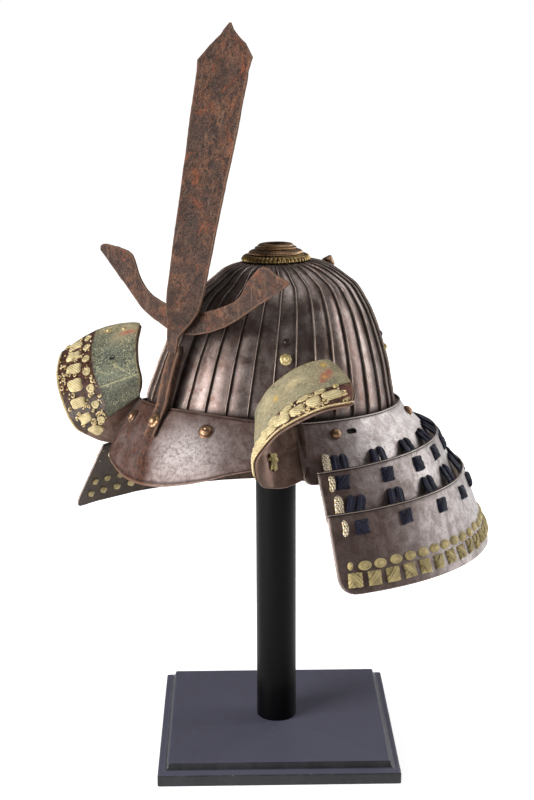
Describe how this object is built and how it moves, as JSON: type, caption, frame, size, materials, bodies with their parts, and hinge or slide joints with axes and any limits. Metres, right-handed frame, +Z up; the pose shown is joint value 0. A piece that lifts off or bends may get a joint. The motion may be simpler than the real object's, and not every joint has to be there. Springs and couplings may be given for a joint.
{
  "type": "kabuto samurai helmet on display stand",
  "caption": "Ribbed iron samurai helmet with a tall crest blade, side wings and a laced neck guard, resting on a plain post stand with a square base.",
  "frame": {"origin": "centre of the underside of the stand's base, under the post", "axes": "+Z up along the post; the helmet faces -Y and its left is +X; the square base is turned 49 degrees in plan"},
  "size_m": [0.4056, 0.365, 0.683],
  "materials": {
    "black_iron": "near-black iron",
    "black_painted_wood": "satin black paint over wood, a little worn at the edges",
    "bowl_iron": "dark russet iron, satin, polished by handling on the ribs' edges",
    "crest_iron": "rust-brown matt iron",
    "dark_brass": "brown darkened brass",
    "lame_iron": "grey-brown iron, worn light at the rear",
    "old_brass": "dull old brass",
    "peak_iron": "russet iron worn to pitted grey in the middle",
    "printed_leather": "stippled grey-green leather, matt, worn tan in patches",
    "wing_iron": "brown iron, satin"
  },
  "bodies": {
    "root": {"bowl_plates_left_front": "bowl_iron", "bowl_plates_left_rear": "bowl_iron", "bowl_plates_right_front": "bowl_iron", "bowl_plates_right_rear": "bowl_iron", "fukigaeshi_leather_left": "printed_leather", "fukigaeshi_leather_right": "printed_leather", "fukigaeshi_left": "wing_iron", "fukigaeshi_right": "wing_iron", "kasajirushi_post": "black_iron", "kasajirushi_ring": "black_iron", "lame_rivet_front_left": "dark_brass", "lame_rivet_front_right": "dark_brass", "lame_rivet_rear_left": "dark_brass", "lame_rivet_rear_right": "dark_brass", "maedate_blade": "crest_iron", "maedate_leaves": "crest_iron", "maedate_stem": "crest_iron", "peak": "peak_iron", "peak_rivet_left": "dark_brass", "peak_rivet_right": "dark_brass", "shikoro_lame_1": "lame_iron", "shikoro_lame_2": "lame_iron", "shikoro_lame_3": "lame_iron", "shiten_rivet_front_left": "old_brass", "shiten_rivet_front_right": "old_brass", "shiten_rivet_rear_left": "old_brass", "shiten_rivet_rear_right": "old_brass", "small_stud_front_left": "black_iron", "small_stud_front_right": "black_iron", "small_stud_rear_left": "black_iron", "small_stud_rear_right": "black_iron", "stand_base": "black_painted_wood", "stand_post": "black_painted_wood", "stem_rivet": "old_brass", "tehen_base_ring": "old_brass", "tehen_collar": "dark_brass", "tehen_middle_ring": "dark_brass"}
  },
  "joints": []
}
